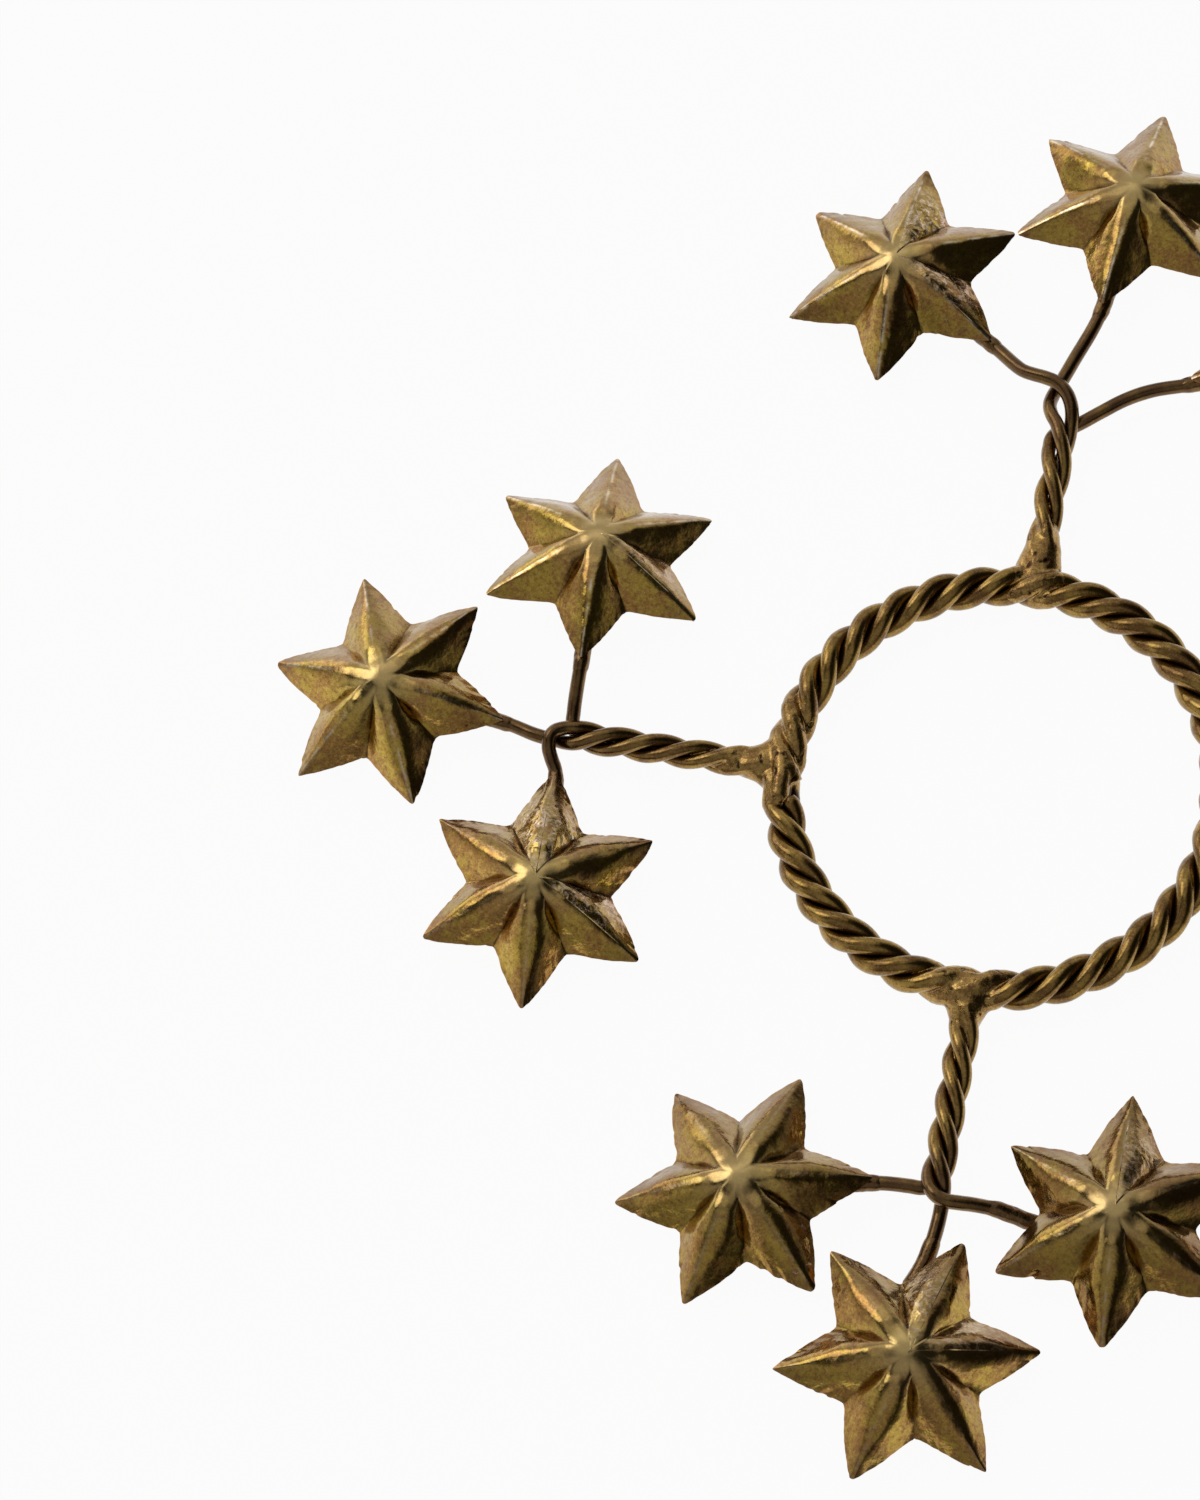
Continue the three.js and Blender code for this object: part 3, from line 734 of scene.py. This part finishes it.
def brass_sheet():
    """Old pressed brass: a speckled olive and brown film, rubbed on the crests with a painted highlight, dark
    with patina and painted shade in the creases, and painted greyer on flanks facing +Y as a painted
    reflection.
    """
    r = Recipe("aged brass sheet")
    crest = r.attribute("crest")
    crease = r.attribute("crease")
    line = r.attribute("edge_line")
    rubbed = r.attribute("rubbed")
    broad = r.noise(2.4 * MM, 3, 0.55)
    middle = r.noise(0.5 * MM, 5, 0.7, distortion=0.4)
    mottle = r.noise(0.26 * MM, 4, 0.68)
    speckle = r.noise(0.1 * MM, 2, 0.6)
    score = r.math("ADD", r.math("MULTIPLY", broad, 0.5), r.math("MULTIPLY", middle, 0.5))
    tone = r.mix(r.span(score, 0.44, 0.56), BROWN_FILM, OLIVE_FILM)
    tone = r.mix(r.span(middle, 0.45, 0.3, 0, 0.65), tone, TARNISH)
    tone = r.mix(r.span(mottle, 0.5, 0.68, 0, 0.55), tone, LEMON_FILM)
    tone = r.mix(r.span(mottle, 0.5, 0.34, 0, 0.45), tone, TARNISH)
    tone = r.mix(r.span(speckle, 0.54, 0.74, 0, 0.45), tone, CLEAN_BRASS)
    tone = r.mix(r.span(speckle, 0.46, 0.28, 0, 0.4), tone, DARK_PATINA_AND_SHADE)
    # Painted reflection on flanks facing +Y, mixed toward grey
    facing_y_grey_sheen = r.math("MULTIPLY", r.attribute("facing_y_grey_sheen"), r.span(mottle, 0.35, 0.6, 0.1, 0.5))
    tone = r.mix(facing_y_grey_sheen, tone, PAINTED_GREY_SHEEN)
    tarnished = r.math("MULTIPLY", r.attribute("tarnished"), r.span(broad, 0.3, 0.7, 1.1, 0.7))
    tone = r.mix(tarnished, tone, TARNISH)
    tips = r.math("MULTIPLY", r.attribute("browned"), r.span(middle, 0.3, 0.6, 0.75, 0.3))
    tone = r.mix(tips, tone, TIP_BROWN)
    scattered = r.span(r.noise(1.7 * MM, 6, 0.75, distortion=1.2), 0.67, 0.72)
    leaf = r.noise(0.6 * MM, 5, 0.7, distortion=1.6)
    flaked = r.math("MULTIPLY", r.attribute("flaked"), r.span(leaf, 0.47, 0.6))
    tone = r.mix(r.math("MULTIPLY", scattered, 0.5), tone, PALE_CRUST)
    tone = r.mix(r.math("MULTIPLY", flaked, 0.9), tone, LEAF_GOLD)
    tone = r.mix(r.math("MULTIPLY", rubbed, 0.85), tone, GREY_GOLD)
    # Painted highlight with rubbed brass along each ridge's crest
    rub_and_highlight = r.math("MULTIPLY", crest, r.span(r.noise(0.7 * MM, 3, 0.6), 0.35, 0.6))
    tone = r.mix(r.math("MULTIPLY", rub_and_highlight, 0.8), tone, RUBBED_BRASS_AND_HIGHLIGHT)
    # Painted shade with dark patina along the creases
    patina_and_shade = r.math("MULTIPLY", crease, r.span(r.noise(0.6 * MM, 4, 0.7), 0.3, 0.6, 0.15, 0.95))
    tone = r.mix(patina_and_shade, tone, DARK_PATINA_AND_SHADE)
    tone = r.mix(r.math("MULTIPLY", line, r.span(middle, 0.4, 0.6, 0.2, 0.7)), tone, COPPER_RIM)
    back = r.attribute("back")
    tone = r.mix(r.math("MULTIPLY", back, 0.6), tone, BROWN_FILM)
    r.feed(r.shader.inputs["Base Color"], tone)
    r.feed(r.shader.inputs["Metallic"], r.math("SUBTRACT", 1.0, r.math("MULTIPLY", flaked, 0.4)))
    lacquer(r, 0.25)
    rough = r.span(middle, 0.35, 0.65, 0.22, 0.12)
    rough = r.math("ADD", rough, r.math("MULTIPLY", patina_and_shade, 0.2))
    rough = r.math("ADD", rough, r.math("MULTIPLY", scattered, 0.15))
    r.feed(r.shader.inputs["Roughness"], rough)
    calm = r.math("SUBTRACT", 1.0, r.math("MULTIPLY", rubbed, 0.85))
    waves = r.bump(r.math("MULTIPLY", r.noise(1.1 * MM, 3, 0.5), calm), 0.08 * MM)
    grain = r.bump(r.math("MULTIPLY", mottle, calm), 0.006 * MM, below=waves)
    folds = r.noise(1.2 * MM, 2, 0.45, distortion=0.35)
    foil = r.math("MULTIPLY", folds, r.math("ADD", 0.06, r.attribute("flaked")))
    crumple = r.bump(foil, 0.22 * MM, below=grain)
    r.feed(r.shader.inputs["Normal"], crumple)
    return r.material


def brass_wire(name, film_light, film_dark, clean):
    """Drawn wire: fine lines along it, a brown film, grooves darkened with patina and painted shade, and
    browner where it was heated.
    """
    r = Recipe(name)
    uv = r.tree.nodes.new("ShaderNodeUVMap")
    uv.uv_map = "UVMap"
    split = r.tree.nodes.new("ShaderNodeSeparateXYZ")
    r.tree.links.new(uv.outputs["UV"], split.inputs[0])
    turn = r.math("MULTIPLY", split.outputs["X"], 2 * math.pi)
    lines = r.tree.nodes.new("ShaderNodeCombineXYZ")
    r.feed(lines.inputs[0], r.math("COSINE", turn))
    r.feed(lines.inputs[1], r.math("SINE", turn))
    r.feed(lines.inputs[2], r.math("MULTIPLY", split.outputs["Y"], 14.0))
    streaks = r.noise(0.2, 2.0, vector=lines.outputs[0])
    browned = r.attribute("browned")
    groove = r.attribute("groove")
    broad = r.noise(1.6 * MM, 3, 0.6)
    speckle = r.noise(0.13 * MM, 2, 0.6)
    tone = r.mix(r.span(broad, 0.36, 0.64), film_dark, film_light)
    tone = r.mix(r.span(streaks, 0.5, 0.72, 0, 0.2), tone, clean)
    tone = r.mix(r.span(speckle, 0.52, 0.7, 0, 0.3), tone, clean)
    tone = r.mix(r.span(speckle, 0.48, 0.3, 0, 0.4), tone, DARK_PATINA_AND_SHADE)
    tone = r.mix(r.math("MULTIPLY", browned, r.span(broad, 0.3, 0.7, 0.9, 0.7)), tone, HEAT_BROWN)
    # Painted shade with dark patina in the grooves between strands
    tone = r.mix(r.math("MULTIPLY", groove, 0.85), tone, DARK_PATINA_AND_SHADE)
    r.feed(r.shader.inputs["Base Color"], tone)
    r.shader.inputs["Metallic"].default_value = 1.0
    lacquer(r, 0.18)
    rough = r.span(broad, 0.3, 0.7, 0.26, 0.15)
    rough = r.math("ADD", rough, r.math("MULTIPLY", groove, 0.2))
    r.feed(r.shader.inputs["Roughness"], rough)
    ridges = r.bump(streaks, 0.005 * MM)
    grain = r.bump(r.noise(0.35 * MM, 3, 0.6), 0.014 * MM, below=ridges)
    r.feed(r.shader.inputs["Normal"], grain)
    return r.material


def solder_metal():
    """Brass solder gone the colour of the wire, pitted and blotched."""
    r = Recipe("pitted solder")
    broad = r.noise(0.9 * MM, 4, 0.65)
    speckle = r.noise(0.12 * MM, 3, 0.65)
    tone = r.mix(r.span(broad, 0.36, 0.64), SOLDER_DARK, SOLDER_LIGHT)
    tone = r.mix(r.span(speckle, 0.54, 0.7, 0, 0.45), tone, CLEAN_BRASS)
    tone = r.mix(r.span(speckle, 0.48, 0.32, 0, 0.45), tone, DARK_PATINA_AND_SHADE)
    # Pits are darkened; at the west root this share also holds the painted shade of the seam's hole
    pit = r.attribute("pit")
    tone = r.mix(pit, tone, DARK_PATINA_AND_SHADE)
    browned = r.attribute("browned")
    tone = r.mix(r.math("MULTIPLY", browned, r.span(broad, 0.3, 0.7, 0.9, 0.7)), tone, HEAT_BROWN)
    r.feed(r.shader.inputs["Base Color"], tone)
    r.shader.inputs["Metallic"].default_value = 1.0
    lacquer(r, 0.15)
    r.feed(r.shader.inputs["Roughness"], r.span(speckle, 0.35, 0.65, 0.28, 0.14))
    lumps = r.bump(r.noise(0.5 * MM, 3, 0.6), 0.035 * MM)
    grain = r.bump(speckle, 0.011 * MM, below=lumps)
    r.feed(r.shader.inputs["Normal"], grain)
    return r.material


def finish_with(piece, material):
    """Puts one material on a piece in place of any that it has."""
    piece.data.materials.clear()
    piece.data.materials.append(material)


# The candle ring, piece by piece

drop_selection()
sheet = brass_sheet()
ring_brass = brass_wire("drawn ring wire", RING_FILM, RING_FILM_DARK, RING_CLEAN)
arm_brass = brass_wire("drawn arm wire", ARM_FILM, ARM_FILM_DARK, ARM_CLEAN)
solder = solder_metal()

ring_lines = [centre_line(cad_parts[f"ring_strand_{i}"]) for i in (1, 2, 3)]
arm_lines = {}
for arm in ARMS:
    for side in SIDES:
        arm_lines[arm, side] = centre_line(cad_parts[f"{arm}_arm_wire_{side}"])

for i, line in enumerate(ring_lines):
    shown = line if i else [line[0].lerp(line[1], CUT_BACK)] + list(line[1:])
    tapered = [0.78, 0.97] + [1] * (len(shown) - 4) + [0.97, 0.78]
    strand = draw_wire(f"ring_strand_{i + 1}_drawn", shown, RING_WIRE_RADIUS, tapered, sides=6, steps=4)
    neighbours = [spaced(other, 0.25 * MM) for other in ring_lines if other is not line]
    wear_wire(strand, neighbours, RING_WIRE_RADIUS, i)
    finish_with(strand, ring_brass)
    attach(strand, "root")
    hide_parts(f"ring_strand_{i + 1}")

for number, ((arm, side), line) in enumerate(arm_lines.items()):
    wire = draw_wire(f"{arm}_arm_wire_{side}_drawn", line, ARM_WIRE_RADIUS, sides=5, steps=5)
    neighbours = [spaced(arm_lines[arm, other], 0.2 * MM) for other in SIDES if other != side]
    wear_wire(wire, neighbours, ARM_WIRE_RADIUS, 10 + number)
    finish_with(wire, arm_brass)
    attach(wire, "root")
    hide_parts(f"{arm}_arm_wire_{side}")

drop_selection()
blank = flat_star()
for number, (arm, side) in enumerate(arm_lines):
    star = make_star(f"{arm}_star_{side}_pressed", f"{arm}_star_{side}", number, blank)
    finish_with(star, sheet)
bpy.data.objects.remove(blank)

for number, arm in enumerate(ARMS):
    root = make_root(arm, ring_lines, [arm_lines[arm, side] for side in SIDES], 30 + number)
    finish_with(root, solder)

for number, ((arm, side), line) in enumerate(arm_lines.items()):
    bead = make_bead(f"{arm}_star_{side}_solder", line, 50 + number)
    finish_with(bead, solder)


def light_path_white(tree, base, whiteness, strength):
    """Mixes plain white into a shader for the camera and for what metal and glass reflect."""
    path = tree.nodes.new("ShaderNodeLightPath")
    seen = path.outputs["Is Camera Ray"]
    for other in ("Is Glossy Ray", "Is Transmission Ray"):
        either = tree.nodes.new("ShaderNodeMath")
        either.operation = "MAXIMUM"
        tree.links.new(seen, either.inputs[0])
        tree.links.new(path.outputs[other], either.inputs[1])
        seen = either.outputs[0]
    share = tree.nodes.new("ShaderNodeMath")
    share.operation = "MULTIPLY"
    tree.links.new(seen, share.inputs[0])
    share.inputs[1].default_value = whiteness
    kind = "ShaderNodeEmission" if tree.nodes.get("Material Output") else "ShaderNodeBackground"
    white = tree.nodes.new(kind)
    white.inputs["Color"].default_value = rgb(1, 1, 1)
    white.inputs["Strength"].default_value = strength
    mix = tree.nodes.new("ShaderNodeMixShader")
    tree.links.new(share.outputs[0], mix.inputs[0])
    tree.links.new(base, mix.inputs[1])
    tree.links.new(white.outputs[0], mix.inputs[2])
    return mix.outputs[0]


def make_floor():
    bpy.ops.mesh.primitive_plane_add(size=3)
    floor = bpy.context.object
    floor.name = "floor"
    material = bpy.data.materials.new("pale table")
    material.use_nodes = True
    tree = material.node_tree
    shader = tree.nodes["Principled BSDF"]
    shader.inputs["Base Color"].default_value = rgb(0.88, 0.88, 0.87)
    shader.inputs["Roughness"].default_value = 0.9
    shader.inputs["Specular IOR Level"].default_value = 0.1
    out = light_path_white(tree, shader.outputs[0], 0.95, 1.0)
    tree.links.new(out, tree.nodes["Material Output"].inputs["Surface"])
    floor.data.materials.append(material)


def make_world():
    world = bpy.data.worlds.new("white studio")
    bpy.context.scene.world = world
    world.use_nodes = True
    tree = world.node_tree
    background = tree.nodes["Background"]
    background.inputs["Color"].default_value = rgb(1, 1, 1)
    background.inputs["Strength"].default_value = 0.4
    out = light_path_white(tree, background.outputs[0], 1.0, 0.97)
    tree.links.new(out, tree.nodes["World Output"].inputs["Surface"])


# Where the tent round the object is bright: heading and elevation of the middle of each light area, how far
# it is even and how far it reaches, in degrees, and its level
TENT_BASE = 0.02
TENT_LIGHTS = (
    (0, -90, 84, 114, 0.36),
    (110, 0, 36, 70, 0.52),
    (143, 2, 12, 28, 0.9),
    (155, 43, 4, 20, 2.1),
    (110, 66, 14, 34, 0.45),
    (200, 14, 12, 36, 0.6),
    (265, 48, 18, 50, 0.35),
)


def make_tent():
    """A light tent that the metal reflects: bright at the back left, dark to the right."""
    bpy.ops.mesh.primitive_uv_sphere_add(segments=48, ring_count=24, radius=0.7)
    tent = bpy.context.object
    tent.name = "light_tent"
    bpy.ops.object.mode_set(mode="EDIT")
    bpy.ops.mesh.select_all(action="SELECT")
    bpy.ops.mesh.bisect(plane_co=(0, 0, 0.001), plane_no=(0, 0, 1), clear_inner=True)
    bpy.ops.mesh.select_all(action="SELECT")
    bpy.ops.mesh.flip_normals()
    bpy.ops.object.mode_set(mode="OBJECT")
    r = Recipe("tent cloth")
    toward = r.tree.nodes.new("ShaderNodeVectorMath")
    toward.operation = "NORMALIZE"
    r.tree.links.new(r.coords, toward.inputs[0])
    level = TENT_BASE
    for heading, elevation, even, reach, strength in TENT_LIGHTS:
        h, e = math.radians(heading), math.radians(elevation)
        facing = r.tree.nodes.new("ShaderNodeVectorMath")
        facing.operation = "DOT_PRODUCT"
        r.tree.links.new(toward.outputs[0], facing.inputs[0])
        facing.inputs[1].default_value = (math.cos(h) * math.cos(e), math.sin(h) * math.cos(e), math.sin(e))
        dim, full = math.cos(math.radians(reach)), math.cos(math.radians(even))
        patch = r.span(facing.outputs["Value"], dim, full, 0, strength)
        level = r.math("ADD", patch, level)
    glow = r.tree.nodes.new("ShaderNodeEmission")
    glow.inputs["Color"].default_value = rgb(1, 0.985, 0.96)
    r.tree.links.new(level, glow.inputs["Strength"])
    r.tree.links.new(glow.outputs[0], r.tree.nodes["Material Output"].inputs["Surface"])
    tent.data.materials.append(r.material)
    tent.visible_camera = False
    tent.visible_shadow = False


def make_camera():
    data = bpy.data.cameras.new("photo view")
    camera = bpy.data.objects.new("photo_view", data)
    bpy.context.collection.objects.link(camera)
    data.sensor_width = 36
    data.lens = 98.1
    data.clip_start = 0.005
    data.clip_end = 10
    right = Vector((0.9715, 0.1979, -0.1302)).normalized()
    back = Vector((0.1952, -0.3568, 0.9136)).normalized()
    up = back.cross(right).normalized()
    right = up.cross(back)
    turn = Matrix((right, up, back)).transposed().to_4x4()
    camera.matrix_world = Matrix.Translation(Vector((24.5, -91.26, 231.47)) * MM) @ turn
    bpy.context.scene.camera = camera


drop_selection()
make_floor()
make_world()
make_tent()
make_camera()
bpy.context.scene.view_settings.view_transform = "Standard"
